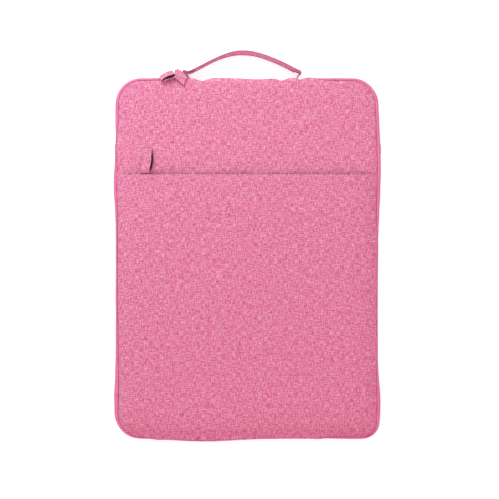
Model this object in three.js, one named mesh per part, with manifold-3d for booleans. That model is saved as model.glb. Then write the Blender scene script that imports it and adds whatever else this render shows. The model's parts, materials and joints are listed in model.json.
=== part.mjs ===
// Zipped laptop sleeve, lying flat on its back.
// Millimetres. +X is the sleeve's width, +Y runs up to the carry handle, +Z is up, out of the front.
// The origin is the middle of the flat back face.
import * as THREE from 'three';
import { mergeVertices } from 'three/addons/utils/BufferGeometryUtils.js';
import Module from 'manifold-3d';

const wasm = await Module();
wasm.setup();

// ---- driving dimensions -------------------------------------------------------------------

const WIDTH = 286;
const HEIGHT = 390;
const TOP_RADIUS = 30;
const BOTTOM_RADIUS = 25;
const GAP = 0.3; // clearance between touching pieces

const PANEL_FABRIC = 1.0;
const GUSSET_FABRIC = 1.4;
const FOAM = 3.0;
const LINING = 0.5;
const LAPTOP_DEPTH = 15.8;
const HINGE_Y = 124; // fold line where the unzipped front turns down
const FOAM_INSET = 4.5;

const COIL_WIDTH = 2.0; // one row of zip coil
const COIL_THICKNESS = 1.2;
const COIL_SPLIT = 1.6; // room between the two rows for a slider's neck
const TAPE = 0.5;
const ZIP_FROM_FRONT = 7; // main zip centre line, back from the front face

const POCKET_TOP = 91.8;
const POCKET_ZIP_Y = 84;
const POCKET_ZIP_OPEN = 4.7; // space between the pocket zip's two rows
const POCKET_RIM = 1.5;
const POCKET_PANEL = 1.2;

const SLIDER_LENGTH = 8.2;
const SLIDER_WIDTH = 7.6;
const SLIDER_PLATE = 1.0;
const LEFT_SLIDER_X = -84.2;
const RIGHT_SLIDER_X = -74.5;
const POCKET_SLIDER_X = -109.8;
const WIRE_RADIUS = 0.6;
const PULL_WIDTH = 10.5;
const PULL_THICKNESS = 2.4;

const HANDLE_BACK = 1.0; // lowest height of the strap above the table
const HANDLE_WIDTH = 13.6;
const HANDLE_SKIN = 1.4;
const HANDLE_CORE = 1.0;
const HANDLE_SWING = THREE.MathUtils.degToRad(60);

// ---- places worked out from them ----------------------------------------------------------

const HALF_WIDTH = WIDTH / 2;
const TOP = HEIGHT / 2;
const WALL = PANEL_FABRIC + GAP + FOAM + GAP + LINING;
const FRONT = 2 * WALL + LAPTOP_DEPTH;
const PANEL_INSET = GUSSET_FABRIC + GAP;
const INNER_INSET = PANEL_INSET + TAPE;
const ZIP_Z = FRONT - ZIP_FROM_FRONT;
const COIL_NEAR = COIL_SPLIT / 2;
const COIL_FAR = COIL_NEAR + COIL_WIDTH;
const STRIP_EDGE = COIL_FAR + 2 * GAP;
const CORNER_STEPS = 8;

// ---- shape helpers ------------------------------------------------------------------------

function toSolid(geometry) {
  const bare = geometry.clone();
  bare.deleteAttribute('normal');
  bare.deleteAttribute('uv');
  const merged = mergeVertices(bare, 1e-4);
  return new wasm.Manifold(new wasm.Mesh({
    numProp: 3,
    vertProperties: new Float32Array(merged.attributes.position.array),
    triVerts: new Uint32Array(merged.index.array),
  }));
}

function toGeometry(solid) {
  const mesh = solid.getMesh();
  const geometry = new THREE.BufferGeometry();
  geometry.setAttribute('position', new THREE.BufferAttribute(mesh.vertProperties, 3));
  geometry.setIndex(new THREE.BufferAttribute(mesh.triVerts, 1));
  geometry.computeVertexNormals();
  return geometry;
}

const subtract = (a, b) => toGeometry(toSolid(a).subtract(toSolid(b)));
const join = (a, b) => toGeometry(toSolid(a).add(toSolid(b)));
const intersect = (a, b) => toGeometry(toSolid(a).intersect(toSolid(b)));

function extrude(shape, z0, z1) {
  return new THREE.ExtrudeGeometry(shape, { depth: z1 - z0, bevelEnabled: false })
    .translate(0, 0, z0);
}

// A block from its two opposite corners.
function block([x0, y0, z0], [x1, y1, z1]) {
  return new THREE.BoxGeometry(x1 - x0, y1 - y0, z1 - z0)
    .translate((x0 + x1) / 2, (y0 + y1) / 2, (z0 + z1) / 2);
}

// The sleeve's outline above y (side +1) or below it (side -1), from the left side round to the
// right one. Inset is measured inwards.
function endPoints(inset, y, side) {
  const radius = side > 0 ? TOP_RADIUS : BOTTOM_RADIUS;
  const points = [new THREE.Vector2(-(HALF_WIDTH - inset), y)];
  for (const across of [-1, 1]) {
    for (let i = 0; i <= CORNER_STEPS; i += 1) {
      const turn = ((across < 0 ? i : CORNER_STEPS - i) / CORNER_STEPS) * (Math.PI / 2);
      points.push(new THREE.Vector2(
        across * (HALF_WIDTH - radius + (radius - inset) * Math.cos(turn)),
        side * (TOP - radius + (radius - inset) * Math.sin(turn)),
      ));
    }
  }
  points.push(new THREE.Vector2(HALF_WIDTH - inset, y));
  return points;
}

function fullPoints(inset) {
  return [...endPoints(inset, 0, 1), ...endPoints(inset, 0, -1).reverse().slice(1, -1)];
}

// A flat panel that fills the outline on one side of y.
function endPlate(inset, y, side, z0, z1) {
  return extrude(new THREE.Shape(endPoints(inset, y, side)), z0, z1);
}

// A flat panel that fills the whole outline.
const fullPlate = (inset, z0, z1) => extrude(new THREE.Shape(fullPoints(inset)), z0, z1);

// A ring of fabric that follows the whole outline.
function fullBand(inset, thickness, z0, z1) {
  return subtract(fullPlate(inset, z0, z1), fullPlate(inset + thickness, z0 - GAP, z1 + GAP));
}

// A strip that follows the outline on one side of y, standing on edge.
function endBand(inset, thickness, y, side, z0, z1) {
  const inner = endPoints(inset + thickness, y, side).reverse();
  return extrude(new THREE.Shape([...endPoints(inset, y, side), ...inner]), z0, z1);
}

// ---- materials ----------------------------------------------------------------------------

function finish(color, roughness, metalness = 0) {
  return new THREE.MeshStandardMaterial({ color, roughness, metalness });
}

const melange = () => finish(0xe68aaa, 0.95);
const smoothFabric = () => finish(0xdf6f9f, 0.9);
const liningFabric = () => finish(0x8f8c92, 0.9);
const foamFill = () => finish(0xd9d7d2, 1.0);
const tapeWeave = () => finish(0xc85f8c, 0.9);
const nylonCoil = () => finish(0xd0658f, 0.5);
const dullMetal = () => finish(0x6d7572, 0.35, 1.0);

const sleeve = new THREE.Group();

function add(name, geometry, material) {
  const mesh = new THREE.Mesh(geometry, material);
  mesh.name = name;
  sleeve.add(mesh);
  return mesh;
}

// ---- back panel and the fixed part of the gusset --------------------------------------------

function addBackPanel() {
  const foam = PANEL_FABRIC + GAP;
  add('back_cover', fullPlate(PANEL_INSET, 0, PANEL_FABRIC), melange());
  add('back_foam', fullPlate(FOAM_INSET, foam, foam + FOAM), foamFill());
  add('back_lining', fullPlate(FOAM_INSET, WALL - LINING, WALL), liningFabric());
}

const BINDING = 1.2;
const BINDING_WIDTH = 7.5;

function addLowerGusset() {
  const y = HINGE_Y - GAP;
  const inside = INNER_INSET + GAP;
  add('lower_gusset', endBand(0, GUSSET_FABRIC, y, -1, 0, FRONT), smoothFabric());
  add('lower_gusset_lining',
    endBand(PANEL_INSET, LINING, y, -1, WALL + GAP, FRONT - WALL - GAP), liningFabric());
  add('back_seam_binding',
    fullBand(inside, BINDING, PANEL_FABRIC + GAP, PANEL_FABRIC + GAP + BINDING_WIDTH), tapeWeave());
  add('front_seam_binding',
    endBand(inside, BINDING, y, -1, FRONT - PANEL_FABRIC - GAP - BINDING_WIDTH,
      FRONT - PANEL_FABRIC - GAP), tapeWeave());
}

// The half of the main zip that stays with the back: strip, lining, tape and coil.
const BACK_TAPE_WIDTH = 7;

function addBackZip() {
  const y = HINGE_Y + GAP;
  const coilEdge = ZIP_Z - COIL_NEAR;
  add('back_zip_strip', endBand(0, GUSSET_FABRIC, y, 1, 0, ZIP_Z - STRIP_EDGE), smoothFabric());
  add('back_strip_lining',
    endBand(PANEL_INSET, LINING, y, 1, PANEL_FABRIC + GAP, coilEdge - BACK_TAPE_WIDTH - GAP),
    liningFabric());
  add('back_zip_tape',
    endBand(PANEL_INSET, TAPE, y, 1, coilEdge - BACK_TAPE_WIDTH, coilEdge), tapeWeave());
  add('back_zip_coil',
    endBand(GUSSET_FABRIC - COIL_THICKNESS, COIL_THICKNESS, y, 1, ZIP_Z - COIL_FAR, coilEdge),
    nylonCoil());
}

// Folded fabric patches sewn over the two ends of the main zip.
const PATCH_HEIGHT = 11;
const PATCH_WIDTH = 12;

function addZipEndPatches() {
  const low = HINGE_Y - PATCH_HEIGHT;
  for (const [name, side] of [['left_zip_end_patch', -1], ['right_zip_end_patch', 1]]) {
    const faces = [side * (HALF_WIDTH + GAP), side * (HALF_WIDTH + GAP + PANEL_FABRIC)];
    const patch = block([Math.min(...faces), low, ZIP_Z - PATCH_WIDTH / 2],
      [Math.max(...faces), HINGE_Y, ZIP_Z + PATCH_WIDTH / 2]);
    add(name, patch, melange());
  }
}

// ---- front: fixed lower part and the flap that unzips ----------------------------------------

function addFrontPanel(part, side) {
  const y = HINGE_Y + side * GAP;
  const lining = FRONT - WALL;
  add(`${part}_cover`, endPlate(PANEL_INSET, y, side, FRONT - PANEL_FABRIC, FRONT), melange());
  add(`${part}_foam`,
    endPlate(FOAM_INSET, y, side, lining + LINING + GAP, lining + LINING + GAP + FOAM), foamFill());
  add(`${part}_lining`, endPlate(FOAM_INSET, y, side, lining, lining + LINING), liningFabric());
}

function addFlapZip() {
  const y = HINGE_Y + GAP;
  const coilEdge = ZIP_Z + COIL_NEAR;
  add('front_zip_strip', endBand(0, GUSSET_FABRIC, y, 1, ZIP_Z + STRIP_EDGE, FRONT), smoothFabric());
  add('front_zip_tape',
    endBand(PANEL_INSET, TAPE, y, 1, coilEdge, FRONT - PANEL_FABRIC - GAP), tapeWeave());
  add('front_zip_coil',
    endBand(GUSSET_FABRIC - COIL_THICKNESS, COIL_THICKNESS, y, 1, coilEdge, ZIP_Z + COIL_FAR),
    nylonCoil());
}

// ---- front pocket ----------------------------------------------------------------------------

const POCKET_FLOOR = FRONT + GAP;
const LOWER_ROW = POCKET_FLOOR + COIL_THICKNESS + POCKET_ZIP_OPEN;
const POCKET_LINING_Z = LOWER_ROW + COIL_THICKNESS + GAP;
const POCKET_UNDER = POCKET_LINING_Z + LINING + GAP;
const THICKNESS = POCKET_UNDER + POCKET_PANEL;
const POCKET_ZIP_LEFT = -118;
const POCKET_ZIP_RIGHT = 128;
const STOP_LENGTH = 2.4;
const POCKET_ROW = 4; // width of one coil row that lies flat
const UPPER_TAPE = 5;
const LOWER_TAPE = 8;

// A shallow tray: the panel with its rim turned down to the front cover on three sides.
function pocketTray() {
  const outer = endPlate(PANEL_INSET, POCKET_TOP, -1, POCKET_FLOOR, THICKNESS);
  const hollow = endPlate(PANEL_INSET + POCKET_RIM, HINGE_Y, -1, FRONT - GAP, POCKET_UNDER);
  return subtract(outer, hollow);
}

function addPocket() {
  const inset = PANEL_INSET + POCKET_RIM + GAP;
  add('pocket_panel', pocketTray(), melange());
  add('pocket_lining',
    endPlate(inset, POCKET_TOP - 1, -1, POCKET_LINING_Z, POCKET_LINING_Z + LINING), liningFabric());
}

function addPocketZip() {
  const [left, right] = [POCKET_ZIP_LEFT, POCKET_ZIP_RIGHT];
  const low = POCKET_ZIP_Y - POCKET_ROW / 2;
  const high = POCKET_ZIP_Y + POCKET_ROW / 2;
  const lowerTop = LOWER_ROW + COIL_THICKNESS;
  add('pocket_zip_upper_tape',
    block([left, high + GAP, POCKET_FLOOR], [right, high + GAP + UPPER_TAPE, POCKET_FLOOR + TAPE]),
    tapeWeave());
  add('pocket_zip_upper_coil',
    block([left, low, POCKET_FLOOR], [right, high, POCKET_FLOOR + COIL_THICKNESS]), nylonCoil());
  add('pocket_zip_lower_tape',
    block([left, low - GAP - LOWER_TAPE, lowerTop - TAPE], [right, low - GAP, lowerTop]), tapeWeave());
  add('pocket_zip_lower_coil', block([left, low, LOWER_ROW], [right, high, lowerTop]), nylonCoil());
  for (const [name, x] of [['pocket_zip_left_stop', left - GAP - STOP_LENGTH],
    ['pocket_zip_right_stop', right + GAP]]) {
    add(name, block([x, low, POCKET_FLOOR], [x + STOP_LENGTH, high, lowerTop]), dullMetal());
  }
}

// ---- sliders and their pulls -------------------------------------------------------------------

const BAIL_LENGTH = 1.6;
const BAIL_LEG = 1.1;
const BAIL_HOLE = 3.0;
const BAIL_RISE = 2.7;
const BAIL_CROWN = 1.0;
const NECK_LENGTH = 3;
const NECK_THICKNESS = 1.0;
const INNER_PLATE_INSET = 2.8;

// A wire eye that stands on a slider plate at z = 0, over the origin, with its hole along X.
function bail() {
  const half = BAIL_HOLE / 2;
  const outside = block([-BAIL_LENGTH / 2, -half - BAIL_LEG, -GAP],
    [BAIL_LENGTH / 2, half + BAIL_LEG, BAIL_RISE + BAIL_CROWN]);
  return subtract(outside, block([-BAIL_LENGTH, -half, 0], [BAIL_LENGTH, half, BAIL_RISE]));
}

// Two plates either side of the chain, a neck between the coil rows and the eye on the outside.
// meeting is the side, -1 or +1 along X, that faces the other slider.
function addMainSlider(name, x, meeting) {
  const outerFace = TOP + GAP + SLIDER_PLATE;
  const half = SLIDER_LENGTH / 2;
  const zs = [ZIP_Z - SLIDER_WIDTH / 2, ZIP_Z + SLIDER_WIDTH / 2];
  const outer = block([x - half, TOP + GAP, zs[0]], [x + half, outerFace, zs[1]]);
  const innerLow = TOP - INNER_PLATE_INSET - SLIDER_PLATE;
  const inner = block([x - half, innerLow, zs[0]], [x + half, innerLow + SLIDER_PLATE, zs[1]]);
  const neckX = x + meeting * (half - NECK_LENGTH / 2);
  const neck = block([neckX - NECK_LENGTH / 2, innerLow, ZIP_Z - NECK_THICKNESS / 2],
    [neckX + NECK_LENGTH / 2, outerFace, ZIP_Z + NECK_THICKNESS / 2]);
  const eye = bail().rotateX(-Math.PI / 2).translate(x, outerFace, ZIP_Z);
  add(name, join(join(join(outer, inner), neck), eye), dullMetal());
}

// The pull's ring goes from the eye at the group's origin along +Y. squeeze below 1 makes it oval.
function ring(radius, squeeze) {
  return new THREE.TorusGeometry(radius, WIRE_RADIUS, 8, 20)
    .scale(squeeze, 1, 1)
    .translate(0, radius, 0);
}

const LOOP_INNER = 1.25;
const LOOP_WIDTH = 3.0;
const LOOP_WALL = 0.8;
const LOOP_STEPS = 16;

// A strip of fabric folded round the ring's wire and sewn flat: an eyelet at the origin with its
// hole along X, then a tail along +Y that widens to the pull's full width.
function pullTab(length, shoulder) {
  const eyelet = new THREE.Shape();
  eyelet.absarc(0, 0, LOOP_INNER + LOOP_WALL, 0, 2 * Math.PI);
  const hole = new THREE.Path();
  hole.absarc(0, 0, LOOP_INNER, 0, 2 * Math.PI);
  eyelet.holes.push(hole);
  const loop = new THREE.ExtrudeGeometry(eyelet,
    { depth: LOOP_WIDTH, bevelEnabled: false, curveSegments: LOOP_STEPS })
    .translate(0, 0, -LOOP_WIDTH / 2).rotateY(Math.PI / 2);
  const start = LOOP_INNER + LOOP_WALL / 2;
  const tail = new THREE.Shape();
  tail.moveTo(-LOOP_WIDTH / 2, start);
  tail.lineTo(LOOP_WIDTH / 2, start);
  tail.lineTo(PULL_WIDTH / 2, start + shoulder);
  tail.lineTo(PULL_WIDTH / 2, length);
  tail.lineTo(-PULL_WIDTH / 2, length);
  tail.lineTo(-PULL_WIDTH / 2, start + shoulder);
  return join(loop, extrude(tail, -PULL_THICKNESS / 2, PULL_THICKNESS / 2));
}

// Places a ring and its tab: lean is the ring's angle from +Y towards +Z, hang the tab's, and
// yaw turns the whole pull about +Z through the eye.
function addPull(name, eye, { radius, squeeze, lean, hang, yaw }, tab) {
  const holder = new THREE.Group();
  holder.position.set(...eye);
  holder.rotation.z = yaw;
  sleeve.add(holder);
  const ringMesh = add(`${name}_ring`, ring(radius, squeeze), dullMetal());
  ringMesh.rotation.x = lean;
  const tabMesh = add(`${name}_tab`, tab, melange());
  const reach = 2 * radius;
  tabMesh.position.set(0, reach * Math.cos(lean), reach * Math.sin(lean));
  tabMesh.rotation.x = hang;
  holder.add(ringMesh, tabMesh);
}

const degrees = THREE.MathUtils.degToRad;
const EYE_Y = TOP + GAP + SLIDER_PLATE + BAIL_RISE / 2;
const MAIN_RING = { radius: 3.9, squeeze: 0.8, lean: degrees(55), hang: degrees(158) };
const MAIN_PULL_LENGTH = 14.5;
const MAIN_PULL_SHOULDER = 10;
const LEFT_YAW = degrees(-20);
const RIGHT_YAW = degrees(11);

function addMainPulls() {
  for (const [side, x, meeting, yaw] of [['left', LEFT_SLIDER_X, 1, LEFT_YAW],
    ['right', RIGHT_SLIDER_X, -1, RIGHT_YAW]]) {
    addMainSlider(`${side}_slider`, x, meeting);
    addPull(`${side}_pull`, [x, EYE_Y, ZIP_Z], { ...MAIN_RING, yaw },
      pullTab(MAIN_PULL_LENGTH, MAIN_PULL_SHOULDER));
  }
}

const POCKET_SLIDER_LOW = POCKET_ZIP_Y - 4;
const POCKET_SLIDER_HIGH = POCKET_ZIP_Y + 3.6;
const POCKET_RING = { radius: 2.6, squeeze: 1, lean: 0, hang: degrees(-4), yaw: 0 };
const POCKET_EYE_Z = (POCKET_FLOOR + COIL_THICKNESS + LOWER_ROW) / 2;
const POCKET_PULL_LENGTH = 25.3;
const POCKET_PULL_SHOULDER = 1.5;

function addPocketPull() {
  const half = SLIDER_LENGTH / 2;
  const x = POCKET_SLIDER_X;
  const body = block([x - half, POCKET_SLIDER_LOW, POCKET_FLOOR + COIL_THICKNESS + GAP],
    [x + half, POCKET_SLIDER_HIGH, LOWER_ROW - GAP]);
  const eye = bail().rotateX(-Math.PI / 2).translate(x, POCKET_SLIDER_HIGH, POCKET_EYE_Z);
  add('pocket_slider', join(body, eye), dullMetal());
  addPull('pocket_pull', [x, POCKET_SLIDER_HIGH + BAIL_RISE / 2, POCKET_EYE_Z], POCKET_RING,
    pullTab(POCKET_PULL_LENGTH, POCKET_PULL_SHOULDER));
}

// ---- carry handle --------------------------------------------------------------------------------

const HANDLE_Z = HANDLE_BACK + HANDLE_WIDTH / 2;
const HANDLE_AXIS_Y = TOP + 2.2;
const HANDLE_STEPS = 28;
const TAB_STEPS = 6;
const ANCHOR_X = { left: -60, right: 53 };
const ANCHOR_LENGTH = 11;
const ANCHOR_WIDTH = 11.6;
const ANCHOR_PATCH = 0.7;

// Middle line of the strap seen along Z, from the left fold over the arch to the right fold.
const handleRoute = new THREE.SplineCurve([
  [-67.5, 204], [-61, 204.2], [-36, 215.6], [-6, 223.4], [23, 217.6], [49, 205.6], [61, 201.6],
].map(([x, y]) => new THREE.Vector2(x, y)));

// Short straps from the folds at the ends back to the gusset.
const tabRoutes = {
  left: new THREE.SplineCurve([[-60.2, 197.9], [-63.6, 199.3], [-67.6, 200.6]]
    .map(([x, y]) => new THREE.Vector2(x, y))),
  right: new THREE.SplineCurve([[52.4, 197.7], [56.5, 197.9], [61, 198.1]]
    .map(([x, y]) => new THREE.Vector2(x, y))),
};

// A ribbon on edge that follows a route at an offset to its left, extruded through the width.
function ribbon(route, offset, thickness, steps) {
  const edges = [[], []];
  for (let i = 0; i <= steps; i += 1) {
    const point = route.getPoint(i / steps);
    const tangent = route.getTangent(i / steps);
    const normal = new THREE.Vector2(-tangent.y, tangent.x);
    edges[0].push(point.clone().addScaledVector(normal, offset + thickness / 2));
    edges[1].unshift(point.clone().addScaledVector(normal, offset - thickness / 2));
  }
  return extrude(new THREE.Shape([...edges[0], ...edges[1]]),
    HANDLE_BACK, HANDLE_BACK + HANDLE_WIDTH);
}

// The room the strap may fill: narrow near the axis, so that it can swing without meeting the
// gusset, and as wide as the strap further out.
function swingRoom() {
  const clearance = 1.0;
  const reach = 2 * HANDLE_WIDTH;
  const halfAt = (rise) => (clearance + rise * Math.cos(HANDLE_SWING)) / Math.sin(HANDLE_SWING);
  const half = HANDLE_WIDTH / 2;
  const full = (half * Math.sin(HANDLE_SWING) - clearance) / Math.cos(HANDLE_SWING);
  const shape = new THREE.Shape();
  shape.moveTo(-halfAt(-clearance), -clearance);
  shape.lineTo(halfAt(-clearance), -clearance);
  shape.lineTo(half, full);
  shape.lineTo(half, reach);
  shape.lineTo(-half, reach);
  shape.lineTo(-half, full);
  return new THREE.ExtrudeGeometry(shape, { depth: WIDTH, bevelEnabled: false })
    .translate(0, 0, -HALF_WIDTH).rotateY(Math.PI / 2).translate(0, HANDLE_AXIS_Y, HANDLE_Z);
}

function addHandle() {
  const room = swingRoom();
  const offset = HANDLE_CORE / 2 + GAP + HANDLE_SKIN / 2;
  const strap = (shift, thickness) =>
    intersect(ribbon(handleRoute, shift, thickness, HANDLE_STEPS), room);
  add('handle_outer_fabric', strap(offset, HANDLE_SKIN), melange());
  add('handle_webbing', strap(0, HANDLE_CORE), tapeWeave());
  add('handle_inner_fabric', strap(-offset, HANDLE_SKIN), melange());
  for (const side of ['left', 'right']) {
    add(`${side}_handle_tab`, intersect(ribbon(tabRoutes[side], 0, HANDLE_SKIN, TAB_STEPS), room),
      melange());
    const x = ANCHOR_X[side];
    add(`${side}_handle_anchor`,
      block([x - ANCHOR_LENGTH / 2, TOP + GAP, HANDLE_Z - ANCHOR_WIDTH / 2],
        [x + ANCHOR_LENGTH / 2, TOP + GAP + ANCHOR_PATCH, HANDLE_Z + ANCHOR_WIDTH / 2]), melange());
  }
}

addBackPanel();
addLowerGusset();
addBackZip();
addZipEndPatches();
addFrontPanel('front_lower', -1);
addFrontPanel('flap', 1);
addFlapZip();
addPocket();
addPocketZip();
addMainPulls();
addPocketPull();
addHandle();

export default sleeve;
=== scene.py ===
"""A zipped laptop sleeve in pink melange fabric, lying on its back, seen from straight above.

Lengths are in millimetres until a mesh is made; MM turns them into metres.
+X is the sleeve's width, +Y runs up to the carry handle, +Z is up.
"""
import json
import math

import bmesh
import bpy
import numpy as np
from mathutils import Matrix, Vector, noise


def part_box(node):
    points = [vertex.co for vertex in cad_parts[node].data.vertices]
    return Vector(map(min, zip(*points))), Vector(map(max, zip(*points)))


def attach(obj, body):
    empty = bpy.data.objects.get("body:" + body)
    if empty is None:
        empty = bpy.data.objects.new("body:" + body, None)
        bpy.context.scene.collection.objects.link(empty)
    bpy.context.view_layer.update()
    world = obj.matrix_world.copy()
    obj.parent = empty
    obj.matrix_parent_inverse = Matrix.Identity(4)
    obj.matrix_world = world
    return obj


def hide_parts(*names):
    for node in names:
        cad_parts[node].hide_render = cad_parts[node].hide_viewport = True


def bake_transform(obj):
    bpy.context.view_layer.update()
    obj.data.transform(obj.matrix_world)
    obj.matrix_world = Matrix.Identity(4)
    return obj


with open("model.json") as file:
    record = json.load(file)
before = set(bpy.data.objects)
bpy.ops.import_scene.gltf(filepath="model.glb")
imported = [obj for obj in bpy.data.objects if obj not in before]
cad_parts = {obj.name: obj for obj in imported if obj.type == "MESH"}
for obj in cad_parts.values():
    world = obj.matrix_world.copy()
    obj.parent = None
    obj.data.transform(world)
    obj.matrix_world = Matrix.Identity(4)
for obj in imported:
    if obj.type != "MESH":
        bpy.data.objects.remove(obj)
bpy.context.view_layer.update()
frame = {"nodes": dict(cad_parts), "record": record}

MM = 0.001

# ---- places read from the frame ----


def box_mm(node):
    low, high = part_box(node)
    return np.array(low) / MM, np.array(high) / MM


def joint_record(name):
    return next(j for j in frame["record"]["behaviour"]["joints"] if j["name"] == name)


def joint_place(name):
    return np.array(joint_record(name)["pos_m"]) / MM


gusset_high = box_mm("lower_gusset")[1]
strip_low, strip_high = box_mm("front_zip_strip")
back_strip_high = box_mm("back_zip_strip")[1]
coil_low = box_mm("back_zip_coil")[0]
coil_high = box_mm("front_zip_coil")[1]
handle_low, handle_high = box_mm("handle_outer_fabric")

HALF_WIDTH = gusset_high[0]
TOP = strip_high[1]
FRONT = gusset_high[2]
HINGE_Y = (gusset_high[1] + strip_low[1]) / 2
HEM_SAG = 1.1  # how far the pocket's hem hangs below its CAD edge
POCKET_TOP = box_mm("pocket_panel")[1][1] - HEM_SAG
ZIP_Z = (coil_low[2] + coil_high[2]) / 2
COIL_REACH = (coil_high[2] - coil_low[2]) / 2
FABRIC = 0.9  # thickness of the outer cloth
THIN_PLY = 0.4  # of the gusset's linings, the binding, the patches and the pocket's tapes
TAPE_PLY = 0.45  # of the main zip's tapes

# ---- the outline and how the cloth departs from it ----

SIDES = {"left": (-1, 0), "top": (0, 1), "right": (1, 0), "bottom": (0, -1)}


class Outline:
    """A rounded rectangle whose sides bulge and dip.

    places are how far each side lies from the middle, waves the bulges on each side as
    (place along it, how far out, spread), and radii the corners, clockwise from the top left.
    """

    def __init__(self, places, waves, radii):
        self.places, self.waves, self.radii = places, waves, radii

    def side(self, edge, place):
        total = np.full(np.shape(place), float(self.places[edge]))
        for centre, amount, spread in self.waves[edge]:
            total = total + amount * np.exp(-(((place - centre) / spread) ** 2))
        return total

    def half_width(self, edge, y, inset):
        """How far the outline, drawn in by inset, reaches to the left or right at height y."""
        radii = self.radii if edge == "right" else [self.radii[k] for k in (1, 0, 3, 2)]
        up, down = radii[1] - inset, radii[2] - inset
        over = np.clip(y - (self.places["top"] - inset - up), 0, up * 0.9999)
        under = np.clip(-y - (self.places["bottom"] - inset - down), 0, down * 0.9999)
        cut = up - np.sqrt(up ** 2 - over ** 2) + down - np.sqrt(down ** 2 - under ** 2)
        return self.side(edge, y) - inset - cut

    def depth(self, x, y, inset=0):
        """How far points lie inside the outline drawn in by inset."""
        right, up = x > 0, y > 0
        reach_x = np.where(right, self.side("right", y), self.side("left", y)) - inset
        reach_y = np.where(up, self.side("top", x), self.side("bottom", x)) - inset
        radius = np.where(right, np.where(up, self.radii[1], self.radii[2]),
                          np.where(up, self.radii[0], self.radii[3])) - inset
        qx = np.abs(x) - (reach_x - radius)
        qy = np.abs(y) - (reach_y - radius)
        outside = np.hypot(np.maximum(qx, 0), np.maximum(qy, 0))
        return radius - outside - np.minimum(np.maximum(qx, qy), 0)

    def loop(self):
        """Points right round the outline from the middle of the bottom, clockwise seen from
        above, with their outward normals. The loops of two outlines match point by point."""
        middle = np.array([0, -self.places["bottom"]])
        points, normals = [], []
        here = middle
        around = ["bottom", "left", "top", "right", "bottom"]
        for k, (before, after) in enumerate(zip(around, around[1:])):
            first, second = np.array(SIDES[before]), np.array(SIDES[after])
            radius = self.radii[k - 1]
            centre = first * (self.places[before] - radius) + second * (self.places[after] - radius)
            start = centre + radius * first
            count = STRAIGHT_STEPS[before] // (2 if before == "bottom" else 1)
            for i in range(count):
                points.append(here + (start - here) * i / count)
                normals.append(first)
            for i in range(CORNER_STEPS):
                turn = i / CORNER_STEPS * math.pi / 2
                normal = math.cos(turn) * first + math.sin(turn) * second
                points.append(centre + radius * normal)
                normals.append(normal)
            here = centre + radius * second
        count = STRAIGHT_STEPS["bottom"] // 2
        for i in range(count):
            points.append(here + (middle - here) * i / count)
            normals.append(np.array(SIDES["bottom"]))
        points, normals = np.array(points), np.array(normals, float)
        bulge = np.zeros(len(points))
        for edge, side in SIDES.items():
            facing = np.clip(normals @ np.array(side), 0, 1) ** 2
            bulge += facing * (self.side(edge, points[:, abs(side[0])]) - self.places[edge])
        return points + normals * bulge[:, None], normals


STRAIGHT_STEPS = {"left": 112, "top": 80, "right": 112, "bottom": 80}
CORNER_STEPS = 14

silhouette = Outline(
    {"left": HALF_WIDTH - 0.5, "top": TOP + 0.4, "right": HALF_WIDTH - 1.9, "bottom": TOP + 0.4},
    {"left": [(80, 2.2, 28), (-157, 1.6, 32), (158, 0.5, 16)],
     "top": [(-49, -3.4, 7), (12, -1.2, 16), (37.5, -3, 5), (2, -0.4, 34),
             (57.5, -2.2, 3.6)],
     "right": [(97, 4, 66), (-158, 3.6, 38)],
     "bottom": [(-46, 2.9, 44), (114, 0.6, 14)]},
    (28, 27, 16, 27))

front_seam = Outline(
    {"left": HALF_WIDTH - 2.9, "top": TOP - 2.6, "right": HALF_WIDTH - 3.2, "bottom": TOP - 1.5},
    {"left": [(78, 0.9, 20), (160, -1.3, 22), (-125, -1.1, 50)],
     "top": [],
     "right": [(98, 1.6, 34), (166, -0.6, 14), (-150, 0.9, 34)],
     "bottom": [(-50, 1.8, 48)]},
    (27, 28, 15, 25.5))


def ramp(value, start, end):
    """0 before start, 1 after end, smooth between."""
    t = np.clip((value - start) / (end - start), 0, 1)
    return t * t * (3 - 2 * t)


def between(value, low, high, blur):
    """1 from low to high, fading out over blur on both sides."""
    return ramp(value, low - blur, low + blur) * (1 - ramp(value, high - blur, high + blur))


def tucked(x, y):
    """1 where the front panel rolls out over its seam and hides the gusset, 0 elsewhere."""
    along_top = between(x, -88, 78, 14) * ramp(y, 120, 160)
    along_right = between(y, -112, 30, 22) * ramp(x, 90, 120)
    along_bottom = between(x, -104, 84, 12) * ramp(-y, 120, 160)
    upper_left = 0.45 * between(y, 104, 138, 8) * ramp(-x, 90, 120)
    return np.clip(along_top + 0.75 * along_right + along_bottom + upper_left, 0, 1)


# ---- mesh helpers ----


def noise_at(x, y, z):
    """Soft noise from about -1 to 1 at arrays of places."""
    places = zip(*(np.ravel(axis) for axis in np.broadcast_arrays(x, y, z)))
    return np.array([noise.noise(Vector(place)) for place in places]).reshape(np.shape(x))


def smooth_noise(x, y, size, seed):
    """Noise over a panel, with features of the given size."""
    return noise_at(x / size, y / size, seed)


def put_in_scene(name, data):
    piece = bpy.data.objects.new(name, data)
    bpy.context.scene.collection.objects.link(piece)
    return piece


def smooth_piece(name, data):
    for polygon in data.polygons:
        polygon.use_smooth = True
    return put_in_scene(name, data)


def piece_from(name, mesh):
    data = bpy.data.meshes.new(name)
    mesh.to_mesh(data)
    mesh.free()
    return smooth_piece(name, data)


def new_mesh(name, points, faces, uvs=None):
    """An object from points in millimetres. uvs, in metres, is one pair for each point."""
    mesh = bpy.data.meshes.new(name)
    mesh.from_pydata((np.asarray(points, float) * MM).tolist(), [], [list(f) for f in faces])
    if uvs is not None:
        layer = mesh.uv_layers.new(name="weave")
        index = np.empty(len(mesh.loops), int)
        mesh.loops.foreach_get("vertex_index", index)
        layer.data.foreach_set("uv", np.asarray(uvs, float)[index].ravel())
    mesh.validate()
    return smooth_piece(name, mesh)


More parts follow.
